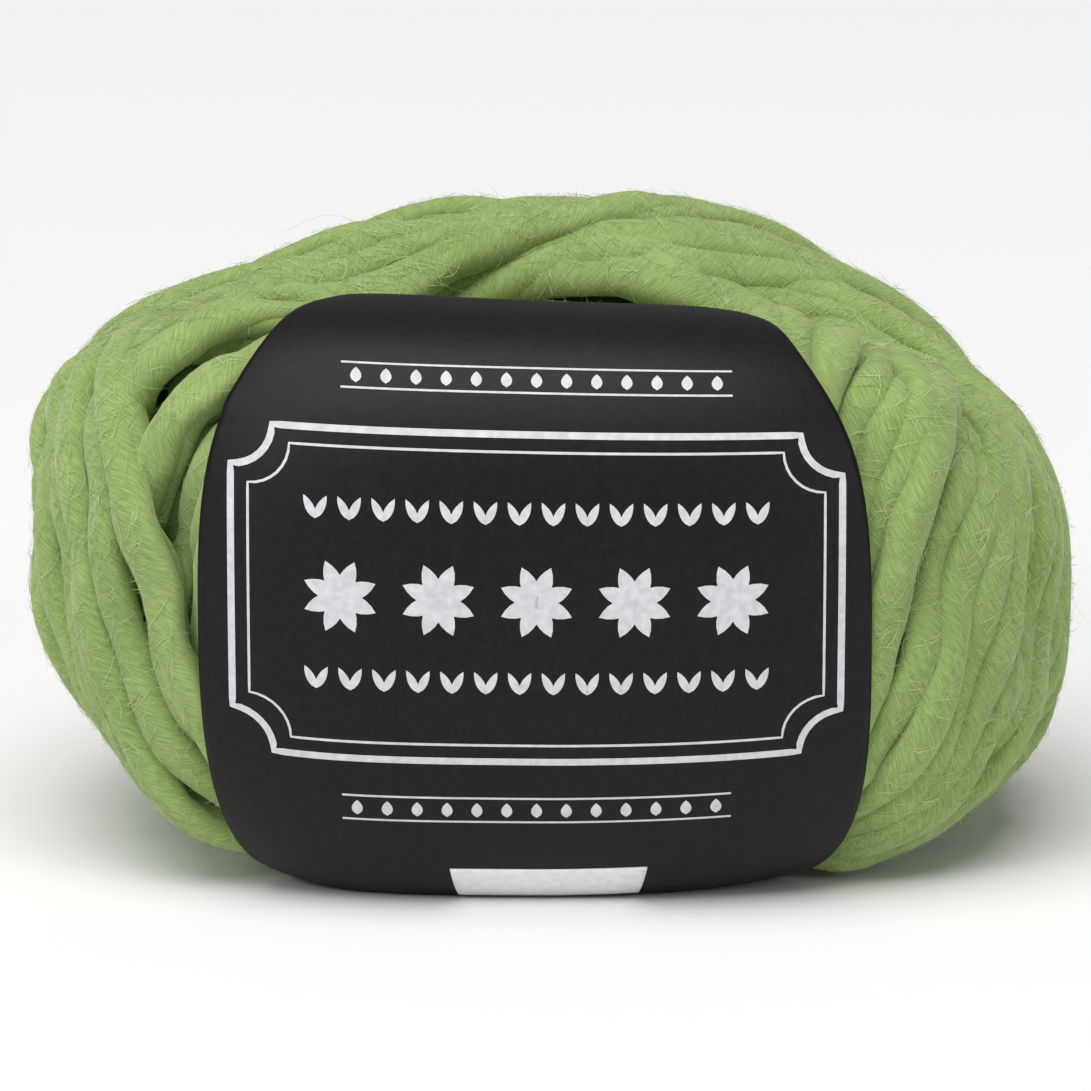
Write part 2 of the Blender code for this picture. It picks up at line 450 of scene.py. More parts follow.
def build_strands(name, chosen):
    """One mesh of many tubes. UV map `Yarn` is metres along and round, and `OFBake` has the tubes in rows."""
    points, quads, yarn_uv, bake_uv = [], [], [], []
    total = sum(s["along"][-1] - s["along"][0] + 2 * STEP for s in chosen)
    rows = int(np.ceil(np.sqrt(total / (GIRTH * 1.12))))
    row_length = total / rows * 1.01
    scale = np.array([0.97 / row_length, 0.995 / rows])
    side = np.arange(SIDES)[None, :]
    first, travelled = 0, 0.0
    for strand in chosen:
        skin, along = tube_points(strand), strand["along"]
        quads.append(grid_quads(len(skin), SIDES, wrap_columns=True) + first)
        around = (side / SIDES * GIRTH, (side + 1) / SIDES * GIRTH)
        yarn_uv.append(box_corners(along[:-1, None], along[1:, None], *around))
        far = travelled + along - along[0]
        row = np.floor(far[:-1] / row_length)
        start = (far[:-1] - row * row_length)[:, None]
        low = row[:, None] + 0.06 + 0.88 * side / SIDES
        high = row[:, None] + 0.06 + 0.88 * (side + 1) / SIDES
        bake_uv.append(box_corners(start, start + np.diff(far)[:, None], low, high) * scale + 0.004)
        points.append(skin.reshape(-1, 3))
        first += len(skin) * SIDES
        travelled = far[-1] + 2 * STEP
    maps = {"OFBake": np.concatenate(bake_uv), "Yarn": np.concatenate(yarn_uv)}
    return new_mesh(name, np.concatenate(points), np.concatenate(quads), maps)


# %% Share the runs out over three pieces
YARN_PIECES = 3
middles = np.cumsum(lengths) - 0.5 * lengths
piece_of_run = (YARN_PIECES * middles / lengths.sum()).astype(int)
yarn_pieces = []
for n in range(YARN_PIECES):
    chosen = [strand for strand, number in zip(strands, piece_of_run) if number == n]
    yarn_pieces.append(build_strands(f"yarn_turns_{n + 1}", chosen))
print("quads in each", [len(piece.data.polygons) for piece in yarn_pieces])

# %% [markdown]
# ## The dark inside, a painted shade
#
# A real ball is yarn all the way through. Here only the turns that show are made, so a smooth ring just under
# them stands for the rest, and no gap between the turns shows daylight. Its green is far darker than the
# yarn's: painted shade for the shadowed yarn deep between the turns.

# %% The core
CORE_COLUMNS, CORE_ROWS = 100, 40
CORE_DEPTH_FREE, CORE_DEPTH_PAPER, CORE_BOTTOM = 4.6, 2.0, 1.5


def build_core():
    """The smooth ring, moved inwards along its normals and kept off the floor."""
    turn = np.linspace(0.0, 2.0 * np.pi, CORE_COLUMNS, endpoint=False)[:, None]
    lap = np.linspace(0.0, 2.0 * np.pi, CORE_ROWS, endpoint=False)[None, :]
    inward = np.where(past_sleeve_edge(turn) > 0.0, CORE_DEPTH_FREE, CORE_DEPTH_PAPER) * MM
    points = ring_surface(turn, lap) - ring_normal(turn, lap) * (inward + 0.0 * lap)[..., None]
    points[..., 2] = np.maximum(points[..., 2], CORE_BOTTOM * MM)
    # The rows here run along `turn`, so the quads are turned round to face out.
    quads = grid_quads(CORE_COLUMNS, CORE_ROWS, wrap_rows=True, wrap_columns=True)[:, [0, 3, 2, 1]]
    return new_mesh("yarn_core_painted_shade", points.reshape(-1, 3), quads)


core = build_core()

# %% [markdown]
# ## Fibres
#
# Roving sheds fine fibres that lie slantwise over each turn, and a few stand away from it. Each fibre is
# a thin ribbon that starts on a tube's skin, follows it round and lifts off a little. All of them are
# computed at once.

# %% Fibres
FIBRES = 57000
FLYAWAYS = 1500
FIBRE_POINTS = 6
SKIN_RADIUS = 2.7 * MM
FIBRE_CLEAR, FIBRE_BOTTOM = 0.10 * MM, 0.05 * MM
FIBRE_TAPER = (0.35, 0.9, 1.0, 1.0, 0.8, 0.25)


def stacked():
    """The runs' frames end to end, with the first and last index of the run that each point is in."""
    keys = ("centre", "normal", "side", "wide", "high", "turn")
    table = {key: np.concatenate([s[key] for s in strands]) for key in keys}
    sizes = [len(s["along"]) for s in strands]
    starts = np.concatenate([[0], np.cumsum(sizes)[:-1]])
    table["first"] = np.repeat(starts, sizes)
    table["last"] = np.repeat(starts + np.array(sizes) - 1, sizes)
    return table


def fibre_lines(table, count, seed, length, lift, slant, bend):
    """Points along each fibre and the outward direction there, as two (count, FIBRE_POINTS, 3) arrays.

    A fibre covers (size cos(lean)) along the tube and (size sin(lean)) round it, rises as |share|^1.6 towards
    its ends, and is bent sideways by a half wave.
    """
    rng = np.random.default_rng(seed)
    free = np.flatnonzero(past_sleeve_edge(table["turn"]) > 0.02)
    start = rng.choice(free, count)
    first, last = table["first"][start], table["last"][start]
    size = rng.uniform(*length, count)
    lean = rng.normal(*slant, count) * DEG
    share = np.linspace(-0.5, 0.5, FIBRE_POINTS)[None, :]
    middle = start[:, None] + rng.uniform(0, 1, count)[:, None]
    place = middle + (size * np.cos(lean) / STEP)[:, None] * share
    place = np.clip(place, first[:, None] + 1.0, last[:, None] - 1.001)
    on_back = rng.normal(90.0, 42.0, count) * DEG
    around = on_back[:, None] + (size * np.sin(lean) / SKIN_RADIUS)[:, None] * share
    low = np.floor(place).astype(int)
    part = (place - low)[..., None]

    def at(key):
        a, b = table[key][low], table[key][low + 1]
        return a + (b - a) * (part if a.ndim == 3 else part[..., 0])

    centre, normal, side, wide, high = (at(k) for k in ("centre", "normal", "side", "wide", "high"))
    cos, sin = np.cos(around)[..., None], np.sin(around)[..., None]
    outward = unit(cos * side / wide[..., None] + sin * normal / high[..., None])
    skin = centre + wide[..., None] * cos * side + high[..., None] * sin * normal
    ramp = np.abs(share * 2.0) ** 1.6
    highest = rng.uniform(*lift, count)[:, None]
    tail = rng.uniform(0, 1, count)[:, None]
    rise = FIBRE_CLEAR + highest * np.where(share > 0, ramp, ramp * tail)
    points = skin + outward * rise[..., None]
    ahead = unit(np.gradient(points, axis=1))
    across = unit(np.cross(ahead, outward))
    curl = rng.normal(0.0, 1.0, count)[:, None] * bend * np.cos(np.pi * share)
    points = points + across * curl[..., None]
    points[..., 2] = np.maximum(points[..., 2], FIBRE_BOTTOM)
    return points, outward


def ribbons(name, points, outward, width, seed):
    """Flat ribbons along the lines, each turned a little, with its own small cell in the `OFBake` map."""
    rng = np.random.default_rng(seed)
    count = len(points)
    ahead = unit(np.gradient(points, axis=1))
    across = unit(np.cross(ahead, outward))
    roll = rng.normal(0.0, 0.45, count)[:, None, None]
    across = unit(across * np.cos(roll) + outward * np.sin(roll))
    taper = np.array(FIBRE_TAPER)[None, :, None]
    half = 0.5 * width * rng.uniform(0.7, 1.25, count)[:, None, None] * taper
    both = np.stack([points - across * half, points + across * half], axis=2)
    i = (np.arange(count) * FIBRE_POINTS * 2)[:, None]
    k = np.arange(FIBRE_POINTS - 1)[None, :] * 2
    quads = np.stack([i + k, i + k + 1, i + k + 3, i + k + 2], -1).reshape(-1, 4)
    grid = int(np.ceil(np.sqrt(count)))
    cell = np.stack([np.arange(count) % grid, np.arange(count) // grid], -1)[:, None, None, :]
    step = np.arange(FIBRE_POINTS - 1) / (FIBRE_POINTS - 1)
    one = 1.0 / (FIBRE_POINTS - 1)
    sides = ((0, 0), (0, 1), (1, 1), (1, 0))
    corner = np.stack([np.stack([step + du * one, np.full_like(step, dv)], -1) for du, dv in sides], 1)[None]
    uv = (cell + 0.12 + 0.76 * corner) / grid
    return new_mesh(name, both.reshape(-1, 3), quads, {"OFBake": uv.reshape(-1, 2)})


# %% Make the fibres
table = stacked()
short = {"length": (2.5 * MM, 6.5 * MM), "lift": (0.05 * MM, 1.15 * MM), "slant": (52.0, 34.0)}
long = {"length": (7 * MM, 15 * MM), "lift": (0.8 * MM, 3.2 * MM), "slant": (45.0, 35.0)}
SHORT_BEND, LONG_BEND = 0.75 * MM, 1.6 * MM
FIBRE_WIDTH, FLYAWAY_WIDTH = 0.075 * MM, 0.045 * MM
fibre_pieces = []
for n in range(3):
    lines, outward = fibre_lines(table, FIBRES // 3, 51 + n, bend=SHORT_BEND, **short)
    fibre_pieces.append(ribbons(f"yarn_fibres_{n + 1}", lines, outward, FIBRE_WIDTH, 61 + n))
lines, outward = fibre_lines(table, FLYAWAYS, 71, bend=LONG_BEND, **long)
flyaways = ribbons("yarn_flyaways", lines, outward, FLYAWAY_WIDTH, 72)
print(FIBRES, "fibres and", FLYAWAYS, "flyaways")

# %% [markdown]
# ## The paper sleeve
#
# The sleeve is a closed paper loop on the same ring. `lap_at` and `turn_at` turn a flat place on the
# paper, so far across and along the loop from the middle of the front, into `lap` and `turn`, so that the
# crease and the print can be drawn flat. A flat strip could be bent with a modifier instead, but it would
# not meet the ring.

# %% The paper's shape
SLEEVE_LOW, SLEEVE_HIGH, SLEEVE_BOTTOM = 0.35 * MM, 0.80 * MM, 0.02 * MM
CREASE_START, CREASE_END, CREASE_SPREAD, CREASE_HEIGHT = (-43.0, 31.5), (-29.0, 27.5), 1.9 * MM, 0.75
LAP_STEPS = np.linspace(-np.pi, np.pi, 2001)
loop_points = ring_surface(np.zeros_like(LAP_STEPS), LAP_STEPS)
loop_reach = np.concatenate([[0.0], np.cumsum(np.linalg.norm(np.diff(loop_points, axis=0), axis=1))])
ALONG_STEPS = loop_reach - np.interp(0.0, LAP_STEPS, loop_reach)  # metres from the front's middle
LOOP_LENGTH = loop_reach[-1]
print("the sleeve's loop is", round(LOOP_LENGTH / MM), "mm long")


def lap_at(along):
    """The lap at a distance along the loop, read from the measured steps."""
    return np.interp(along, ALONG_STEPS, LAP_STEPS)


def half_width_at(lap):
    """The ring's half width at this place round its section."""
    out = 0.5 + 0.5 * signed_power(np.cos(lap), 2.0 / SECTION_POWER)
    return HOLE_HALF_WIDTH + (BALL_HALF_WIDTH - HOLE_HALF_WIDTH) * out


def turn_at(across, lap):
    """Solves across = half width * sin(turn)^power for turn, in a few steps, since power depends on turn."""
    share = np.clip(across / half_width_at(lap), -0.98, 0.98)
    turn = share
    for _ in range(5):
        turn = np.arcsin(signed_power(share, 1.0 / plan_power(turn)))
    return turn


def crease(across, along):
    """A short sharp fold near the upper left corner: falls off as exp(-distance / CREASE_SPREAD)."""
    start, end = np.array(CREASE_START) * MM, np.array(CREASE_END) * MM
    line = end - start
    length = np.hypot(*line)
    line = line / length
    dx, dy = across - start[0], along - start[1]
    down = dx * line[0] + dy * line[1]
    off = np.abs(dx * line[1] - dy * line[0])
    return np.exp(-off / CREASE_SPREAD) * (1.0 - smooth_step(down, -2 * MM, length))


def paper_lift(turn, lap):
    """How far the paper stands off its place: slow swells over the lumpy yarn, and the crease."""
    across = np.sin(turn) * half_width_at(lap)
    along = np.interp(lap, LAP_STEPS, ALONG_STEPS)
    swell = 0.10 * np.sin(across / (7.5 * MM) + 1.3 * np.sin(along / (19 * MM)))
    swell = swell + 0.12 * np.sin(along / (11 * MM) + 0.7)
    middle = np.cos(0.5 * np.pi * np.clip(across / (44 * MM), -1, 1))
    return MM * (0.22 + swell * middle * (np.cos(lap) > -0.2) + CREASE_HEIGHT * crease(across, along))


def paper_point(turn, lap, height):
    """A point this high over the smooth ring, along its normal."""
    return ring_surface(turn, lap) + ring_normal(turn, lap) * height[..., None]


def hump(lap, middle, spread):
    """exp(-(angle from middle / spread)^2), round the section."""
    return np.exp(-((np.angle(np.exp(1j * (lap - middle))) / spread) ** 2))


def sleeve_edges(lap):
    """The cut edges of the paper: narrower over the top shoulder, a little wider low on the right."""
    shoulder, low = hump(lap, 63 * DEG, 27 * DEG), hump(lap, -45 * DEG, 35 * DEG)
    left = SLEEVE_LEFT + LEFT_SHOULDER_CUT * shoulder
    return left, SLEEVE_RIGHT - RIGHT_SHOULDER_CUT * shoulder + RIGHT_LOW_FLARE * low


# %% The sleeve's mesh
def build_sleeve(columns=84, rows=250):
    """An outer and an inner sheet, rows round the loop and columns across, joined at both cut edges."""
    along = np.linspace(-0.5 * LOOP_LENGTH, 0.5 * LOOP_LENGTH, rows, endpoint=False)
    lap = lap_at(along)[:, None]
    share = np.linspace(0.0, 1.0, columns)[None, :]
    left, right = sleeve_edges(lap)
    turn = left + (right - left) * share
    lap = lap + 0.0 * turn
    lift = paper_lift(turn, lap)
    outer = paper_point(turn, lap, SLEEVE_HIGH + lift)
    inner = paper_point(turn, lap, SLEEVE_LOW + lift)
    outer[..., 2] = np.maximum(outer[..., 2], SLEEVE_BOTTOM)
    inner[..., 2] = np.maximum(inner[..., 2], SLEEVE_BOTTOM + SLEEVE_HIGH - SLEEVE_LOW)
    points = np.concatenate([outer.reshape(-1, 3), inner.reshape(-1, 3)])
    front = grid_quads(rows, columns, wrap_rows=True)
    inside = rows * columns
    back = front[:, [0, 3, 2, 1]] + inside
    left_edge = np.arange(rows) * columns
    left_after = np.roll(left_edge, -1)
    right_edge, right_after = left_edge + columns - 1, left_after + columns - 1
    rims = [
        np.stack([left_edge, left_after, left_after + inside, left_edge + inside], -1),
        np.stack([right_after, right_edge, right_edge + inside, right_after + inside], -1),
    ]
    quads = np.concatenate([front, back, *rims])
    thing = new_mesh("sleeve_paper", points, quads)
    slots = np.zeros(len(quads), np.int32)
    slots[len(front) + len(back):] = 1
    thing.data.polygons.foreach_set("material_index", slots)
    return thing


sleeve = build_sleeve()

# %% [markdown]
# ## The print
#
# A generic knitting ornament in pale ink: a plaque outline with stepped-in corners, a band of eight-
# leaved rosettes, and rows of small knit stitches. Everything is drawn flat in millimetres and then laid
# on the paper.

# %% Outlines and leaves
INK_HEIGHT = 0.035 * MM
PRINT_MIDDLE = np.array([-1.6, 5.2])


def outline_strip(path, width, closed=True, finest=1.2):
    """A strip of quads along a flat path, in millimetres, cut finely so that it follows the curved paper."""
    path = np.asarray(path, float)
    if closed:
        path = np.vstack([path, path[:1]])
    pieces = [path[:1]]
    for a, b in zip(path[:-1], path[1:]):
        count = max(1, int(np.ceil(np.linalg.norm(b - a) / finest)))
        pieces.append(a + (b - a) * (np.arange(1, count + 1) / count)[:, None])
    path = np.vstack(pieces)
    if closed:
        path = path[:-1]
        ahead = np.roll(path, -1, axis=0) - np.roll(path, 1, axis=0)
    else:
        ahead = np.gradient(path, axis=0)
    ahead = ahead / np.linalg.norm(ahead, axis=1, keepdims=True)
    side = np.stack([-ahead[:, 1], ahead[:, 0]], -1) * 0.5 * width
    count = len(path)
    i = np.arange(count if closed else count - 1)
    j = (i + 1) % count
    return np.vstack([path + side, path - side]), np.stack([i, i + count, j + count, j], -1)


def leaf(length, width, points=7):
    """A pointed leaf from the origin along +y, as pairs of points either side of its middle line."""
    along = np.linspace(0.0, 1.0, points)
    half = 0.5 * width * np.sin(np.pi * along**0.85) ** 0.8
    flat = np.concatenate([np.stack([-half, along * length], -1), np.stack([half, along * length], -1)])
    i = np.arange(points - 1)
    return flat, np.stack([i, i + points, i + points + 1, i + 1], -1)


def moved(shape, angle=0.0, at=(0.0, 0.0)):
    """The shape turned by an angle about the origin, then moved."""
    flat, quads = shape
    c, s = np.cos(angle), np.sin(angle)
    return flat @ np.array([[c, s], [-s, c]]) + np.asarray(at), quads


def plaque(half_width, half_height, bite):
    """A rectangle whose corners are cut away by quarter circles."""
    path = []
    for cx, cy, start in ((1, 1, 180), (-1, 1, 270), (-1, -1, 0), (1, -1, 90)):
        sweep = np.radians(np.linspace(start + 90, start, 9))
        x, y = cx * half_width + bite * np.cos(sweep), cy * half_height + bite * np.sin(sweep)
        path.append(np.stack([x, y], -1))
    return np.vstack(path)


# %% The ornament, in millimetres
ROSETTES_AT = (-26.0, -13.0, 0.0, 13.0, 26.0)
STITCH_ROWS_AT, STITCH_GAP, STITCH_LEAN = (-12.6, 10.2), 4.5, 27
BAND_ROWS_AT, BAND_HALF, BAND_HEIGHT, BUD_GAP = (27.6, -31.0), 26.0, 3.6, 4.0


def print_shapes():
    """The plaque's two outlines, the rosettes, the knit stitches, and the two bands of buds between rules."""
    shapes = [outline_strip(plaque(40.5, 22.0, 5.5), 0.95), outline_strip(plaque(38.2, 19.7, 5.5), 0.35)]
    for x in ROSETTES_AT:
        for n in range(8):
            shapes.append(moved(leaf(5.1, 2.3), np.radians(45 * n + 22.5), (x, 0.0)))
    for y in STITCH_ROWS_AT:
        for x in np.arange(-29.25, 29.3, STITCH_GAP):
            for lean in (-STITCH_LEAN, STITCH_LEAN):
                shapes.append(moved(leaf(3.4, 1.15), np.radians(lean), (x, y)))
    for y in BAND_ROWS_AT:
        for rule in (y, y + BAND_HEIGHT):
            shapes.append(outline_strip([(-BAND_HALF, rule), (BAND_HALF, rule)], 0.3, closed=False))
        for x in np.arange(-BAND_HALF + 2, BAND_HALF - 1, BUD_GAP):
            shapes.append(moved(leaf(2.2, 1.5), 0.0, (x, y + 0.7)))
    return shapes


def lay_print(shapes):
    """One mesh of all the shapes, laid a hair above the paper."""
    points, quads, first = [], [], 0
    for flat, faces in shapes:
        place = (flat + PRINT_MIDDLE) * MM
        lap = lap_at(place[:, 1])
        turn = turn_at(place[:, 0], lap)
        points.append(paper_point(turn, lap, SLEEVE_HIGH + paper_lift(turn, lap) + INK_HEIGHT))
        quads.append(faces + first)
        first += len(flat)
    return new_mesh("sleeve_print", np.concatenate(points), np.concatenate(quads))


ink = lay_print(print_shapes())
print("quads of ink", len(ink.data.polygons))

# %% [markdown]
# ## The sticker
#
# A small white label low on the front. It is a thin closed slab on the same surface as the paper, worked
# out in `turn` and `lap`, so that it bends with the sleeve. A flat plane would stand off at its corners.

# %% The sticker
STICKER_HALF_TURN = 7.0 * DEG
STICKER_FROM, STICKER_TO = -67.0 * DEG, -50.0 * DEG
STICKER_OUTER, STICKER_INNER = 0.22 * MM, 0.03 * MM


def build_sticker(columns=24, rows=14):
    """Two sheets of points over the paper, joined all round their border."""
    lap = np.linspace(STICKER_FROM, STICKER_TO, rows)[:, None]
    turn = np.linspace(-STICKER_HALF_TURN, STICKER_HALF_TURN, columns)[None, :] + 0.0 * lap
    lap = lap + 0.0 * turn
    lift = paper_lift(turn, lap)
    outer = paper_point(turn, lap, SLEEVE_HIGH + lift + STICKER_OUTER)
    inner = paper_point(turn, lap, SLEEVE_HIGH + lift + STICKER_INNER)
    points = np.concatenate([outer.reshape(-1, 3), inner.reshape(-1, 3)])
    inside = rows * columns
    front = grid_quads(rows, columns)
    number = np.arange(inside).reshape(rows, columns)
    border = np.concatenate([number[0], number[1:, -1], number[-1, -2::-1], number[-2:0:-1, 0]])
    following = np.roll(border, -1)
    rim = np.stack([following, border, border + inside, following + inside], -1)
    return new_mesh("sticker_face", points, np.concatenate([front, front[:, ::-1] + inside, rim]))


sticker = build_sticker()

# %% [markdown]
# ## Materials
#
# Paper, ink, the sticker and loose fibres share one effect: a fine speckle between two colours. It is a
# node group, built once, and each material places it with its own size and colours. Its height output can
# also feed a bump. A painted image could do the same, but it would need a map and would blur when seen
# from near.

# %% The speckle group
FIRST_COLOUR, SECOND_COLOUR, MIXED_COLOUR = 6, 7, 2  # places of the colour sockets on a Mix node


def speckle_group():
    """colour = First + (Second - First) * share, where share is 0 at a noise of Low and 1 at High."""
    group = bpy.data.node_groups.new("speckle", "ShaderNodeTree")
    kinds = {"Vector": "Vector", "Scale": "Float", "Detail": "Float", "Low": "Float", "High": "Float"}
    kinds = {**kinds, "First": "Color", "Second": "Color"}
    for title, kind in kinds.items():
        group.interface.new_socket(title, in_out="INPUT", socket_type=f"NodeSocket{kind}")
    group.interface.new_socket("Color", in_out="OUTPUT", socket_type="NodeSocketColor")
    group.interface.new_socket("Height", in_out="OUTPUT", socket_type="NodeSocketFloat")
    nodes, links = group.nodes, group.links
    entry, leaving = nodes.new("NodeGroupInput"), nodes.new("NodeGroupOutput")
    noise = nodes.new("ShaderNodeTexNoise")
    for title in ("Vector", "Scale", "Detail"):
        links.new(entry.outputs[title], noise.inputs[title])
    share = nodes.new("ShaderNodeMapRange")
    links.new(noise.outputs["Fac"], share.inputs["Value"])
    links.new(entry.outputs["Low"], share.inputs["From Min"])
    links.new(entry.outputs["High"], share.inputs["From Max"])
    mix = nodes.new("ShaderNodeMix")
    mix.data_type = "RGBA"
    links.new(share.outputs["Result"], mix.inputs["Factor"])
    links.new(entry.outputs["First"], mix.inputs[FIRST_COLOUR])
    links.new(entry.outputs["Second"], mix.inputs[SECOND_COLOUR])
    links.new(mix.outputs[MIXED_COLOUR], leaving.inputs["Color"])
    links.new(noise.outputs["Fac"], leaving.inputs["Height"])
    return group


def new_material(name, roughness, base=(0.5, 0.5, 0.5)):
    """A material with one Principled BSDF, and its node tree and shader."""
    material = bpy.data.materials.new(name)
    material.use_nodes = True
    shader = material.node_tree.nodes["Principled BSDF"]
    shader.inputs["Roughness"].default_value = roughness
    shader.inputs["Base Color"].default_value = (*base, 1.0)
    return material, material.node_tree, shader


def add_speckle(tree, shader, scale, detail, low, high, first, second):
    """Places the group in a material and feeds Base Color with it."""
    place = tree.nodes.new("ShaderNodeTexCoord")
    effect = tree.nodes.new("ShaderNodeGroup")
    effect.node_tree = speckle
    values = {"Scale": scale, "Detail": detail, "Low": low, "High": high}
    values = {**values, "First": (*first, 1), "Second": (*second, 1)}
    for title, value in values.items():
        effect.inputs[title].default_value = value
    tree.links.new(place.outputs["Object"], effect.inputs["Vector"])
    tree.links.new(effect.outputs["Color"], shader.inputs["Base Color"])
    return effect


def add_bump(tree, shader, height, strength, distance):
    """A Bump node from this height to the shader's Normal."""
    bump = tree.nodes.new("ShaderNodeBump")
    bump.inputs["Strength"].default_value = strength
    bump.inputs["Distance"].default_value = distance
    tree.links.new(height, bump.inputs["Height"])
    tree.links.new(bump.outputs["Normal"], shader.inputs["Normal"])


speckle = speckle_group()
print("group", speckle.name, "with", len(speckle.nodes), "nodes")

# %% Paper and fibres
def fibre_material(name, first, second):
    """Matt, with a coarse speckle, so that neighbouring fibres differ."""
    material, tree, shader = new_material(name, 0.8)
    add_speckle(tree, shader, 420.0, 2.0, 0.38, 0.62, first, second)
    return material


def paper_material(name, dark, light):
    """Half matt, with a fine speckle that also feeds a faint bump."""
    material, tree, shader = new_material(name, 0.5)
    shader.inputs["Specular IOR Level"].default_value = 0.22
    effect = add_speckle(tree, shader, 900.0, 4.0, 0.35, 0.7, dark, light)
    add_bump(tree, shader, effect.outputs["Height"], 0.12, 0.05 * MM)
    return material


# %% [markdown]
# ## The yarn's finish
#
# Roving is barely twisted, so its fibres lie slantwise along each turn. Noise stretched along a slanting
# line of the `Yarn` UV map gives that grain, which follows every tube. A slow cloud of noise over the
# whole ball varies the shade, and sheen gives the soft pale rim that wool has.

# %% Roving
GRAIN_SLANT, GRAIN_STRETCH = 52.0 * DEG, (420.0, 4200.0, 1.0)
GRAIN_SHARE, CLOUD_SHARE = 0.75, 0.25


def noise_at(tree, vector, scale, detail):
    """A Noise node read at this vector."""
    noise = tree.nodes.new("ShaderNodeTexNoise")
    noise.inputs["Scale"].default_value = scale
    noise.inputs["Detail"].default_value = detail
    tree.links.new(vector, noise.inputs["Vector"])
    return noise


def yarn_material(name, dark, mid, light):
    """The shade is GRAIN_SHARE * grain + CLOUD_SHARE * cloud, on a ramp of three greens."""
    material, tree, shader = new_material(name, 0.92)
    nodes, links = tree.nodes, tree.links
    uv = nodes.new("ShaderNodeUVMap")
    uv.uv_map = "Yarn"
    turned = nodes.new("ShaderNodeMapping")
    turned.inputs["Rotation"].default_value[2] = GRAIN_SLANT
    links.new(uv.outputs["UV"], turned.inputs["Vector"])
    stretched = nodes.new("ShaderNodeMapping")
    stretched.inputs["Scale"].default_value = GRAIN_STRETCH
    links.new(turned.outputs["Vector"], stretched.inputs["Vector"])
    grain = noise_at(tree, stretched.outputs["Vector"], 1.0, 3.0)
    place = nodes.new("ShaderNodeTexCoord")
    cloud = noise_at(tree, place.outputs["Object"], 90.0, 2.0)
    cloud_part = nodes.new("ShaderNodeMath")
    cloud_part.operation = "MULTIPLY"
    cloud_part.inputs[1].default_value = CLOUD_SHARE
    links.new(cloud.outputs["Fac"], cloud_part.inputs[0])
    shade = nodes.new("ShaderNodeMath")
    shade.operation = "MULTIPLY_ADD"
    shade.inputs[1].default_value = GRAIN_SHARE
    links.new(grain.outputs["Fac"], shade.inputs[0])
    links.new(cloud_part.outputs[0], shade.inputs[2])
    ramp = nodes.new("ShaderNodeValToRGB")
    steps = ramp.color_ramp.elements
    steps[0].position, steps[0].color = 0.34, (*dark, 1)
    steps[1].position, steps[1].color = 0.68, (*light, 1)
    steps.new(0.5).color = (*mid, 1)
    links.new(shade.outputs[0], ramp.inputs["Fac"])
    links.new(ramp.outputs["Color"], shader.inputs["Base Color"])
    add_bump(tree, shader, grain.outputs["Fac"], 0.55, 0.25 * MM)
    shader.inputs["Sheen Weight"].default_value = 0.35
    shader.inputs["Sheen Roughness"].default_value = 0.5
    shader.inputs["Sheen Tint"].default_value = (0.85, 0.95, 0.65, 1)
    return material


# %% Finish every piece
yarn = yarn_material("green_roving", (0.18, 0.265, 0.07), (0.25, 0.35, 0.10), (0.34, 0.45, 0.165))
# The core's green is far darker than the yarn's: painted shade for the yarn deep between the turns.
core_painted_shade_material, _, _ = new_material("core_green_painted_shade", 0.95, (0.08, 0.15, 0.03))
# The fibres' greens are paler than the yarn's: painted highlight for the light that loose fibres catch. The
# speckle between the two greens is random tone.
fibres_painted_highlight = fibre_material("green_fibres_painted_highlight", (0.30, 0.42, 0.14), (0.46, 0.58, 0.27))
paper = paper_material("black_paper", (0.0045, 0.0042, 0.0045), (0.0085, 0.008, 0.0085))
cut_edge, _, _ = new_material("cut_paper_edge", 0.8, (0.35, 0.34, 0.33))
white_ink = paper_material("pale_ink", (0.55, 0.55, 0.58), (0.68, 0.68, 0.70))
white_sticker = paper_material("white_sticker", (0.80, 0.80, 0.82), (0.90, 0.90, 0.91))

for piece in yarn_pieces:
    piece.data.materials.append(yarn)
core.data.materials.append(core_painted_shade_material)
for piece in (*fibre_pieces, flyaways):
    piece.data.materials.append(fibres_painted_highlight)
sleeve.data.materials.append(paper)
sleeve.data.materials.append(cut_edge)
ink.data.materials.append(white_ink)
sticker.data.materials.append(white_sticker)

# %% [markdown]
# ## Tying the pieces to the frame
#
# Each piece rides on the body `root`, and the plain solid that it takes the place of is hidden.

# %% Ride and replace
for piece in (*yarn_pieces, core, *fibre_pieces, flyaways):
    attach(piece, "root")
    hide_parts("yarn_ball")
for piece in (sleeve, ink):
    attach(piece, "root")
    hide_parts("paper_sleeve")
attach(sticker, "root")
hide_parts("sticker")

# %% [markdown]
# ## Floor, light and camera
#
# A plain pale floor, a wide soft sun overhead and two weak disks in front light the ball evenly. The
# world is dim as a light but white where the camera looks past the floor. The camera looks slightly down
# at the front.

# %% Floor and lamps
def aim(thing, direction):
    """Turns a lamp or a camera so that its own -Z points this way."""
    thing.rotation_euler = direction.to_track_quat("-Z", "Y").to_euler()


def floor():
    """A plain pale square, which isn't part of the object."""
    mesh = bpy.data.meshes.new("floor")
    size = 3.0
    corners = [(-size, -size, 0), (size, -size, 0), (size, size, 0), (-size, size, 0)]
    mesh.from_pydata(corners, [], [(0, 1, 2, 3)])
    thing = bpy.data.objects.new("floor", mesh)
    bpy.context.scene.collection.objects.link(thing)
    material, _, _ = new_material("pale_floor", 0.9, (0.86, 0.86, 0.86))
    mesh.materials.append(material)


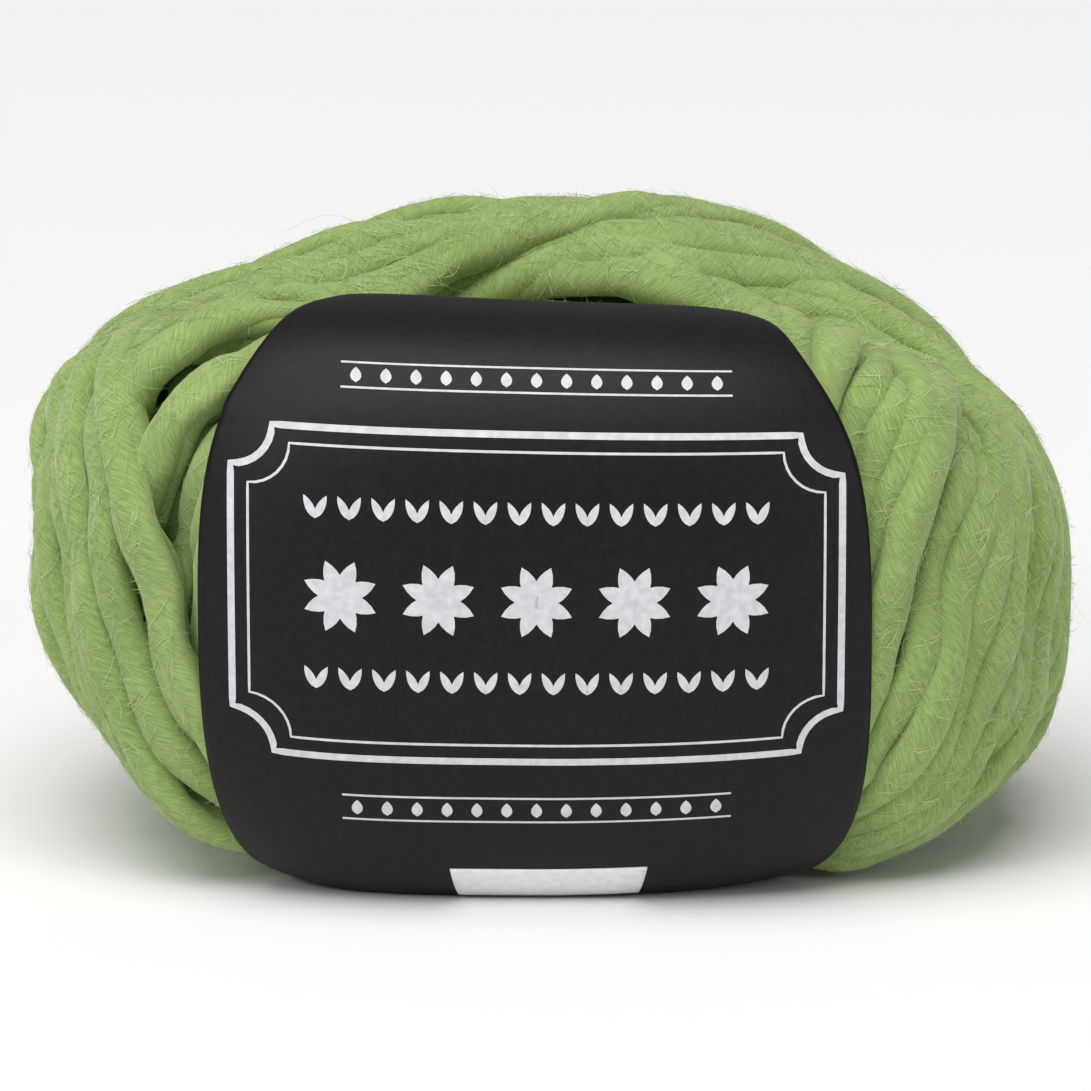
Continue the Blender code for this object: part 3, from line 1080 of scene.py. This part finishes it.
def area_light(name, place, size, energy):
    """A disk that faces the ball's middle."""
    light = bpy.data.lights.new(name, "AREA")
    light.shape = "DISK"
    light.size = size
    light.energy = energy
    thing = bpy.data.objects.new(name, light)
    thing.location = place
    aim(thing, Vector((0, 0, 0.04)) - Vector(place))
    bpy.context.scene.collection.objects.link(thing)


floor()
sky = bpy.data.lights.new("soft_overhead", "SUN")
sky.energy = 2.7
sky.angle = 55.0 * DEG
sky_thing = bpy.data.objects.new("soft_overhead", sky)
aim(sky_thing, Vector((0.15, 0.35, -1.0)))
bpy.context.scene.collection.objects.link(sky_thing)
area_light("front_left", (-0.9, -0.9, 0.7), 0.5, 4.5)
area_light("front_right", (0.9, -0.8, 0.5), 0.5, 2.0)

# %% The world
world = bpy.data.worlds.new("studio")
world.use_nodes = True
world.node_tree.nodes["Background"].inputs["Color"].default_value = (1, 1, 1, 1)
world_nodes, world_links = world.node_tree.nodes, world.node_tree.links
seen = world_nodes.new("ShaderNodeLightPath")
strength = world_nodes.new("ShaderNodeMapRange")
strength.inputs["To Min"].default_value = 0.22
strength.inputs["To Max"].default_value = 1.0
world_links.new(seen.outputs["Is Camera Ray"], strength.inputs["Value"])
world_links.new(strength.outputs["Result"], world_nodes["Background"].inputs["Strength"])
bpy.context.scene.world = world
bpy.context.scene.view_settings.view_transform = "Standard"

# %% The camera
CAMERA_HEIGHT_ANGLE = 12.0 * DEG
CAMERA_DISTANCE = 0.80
AIM = Vector((-0.0004, 0.0, 0.040))
FRAME_WIDTH = 0.156  # how much the camera sees across, at the middle of the ball
lens = bpy.data.cameras.new("camera")
lens.sensor_width = 36.0
lens.lens = lens.sensor_width * CAMERA_DISTANCE / FRAME_WIDTH
camera = bpy.data.objects.new("camera", lens)
back = Vector((0.0, -np.cos(CAMERA_HEIGHT_ANGLE), np.sin(CAMERA_HEIGHT_ANGLE)))
camera.location = AIM + back * CAMERA_DISTANCE
aim(camera, -back)
bpy.context.scene.collection.objects.link(camera)
bpy.context.scene.camera = camera
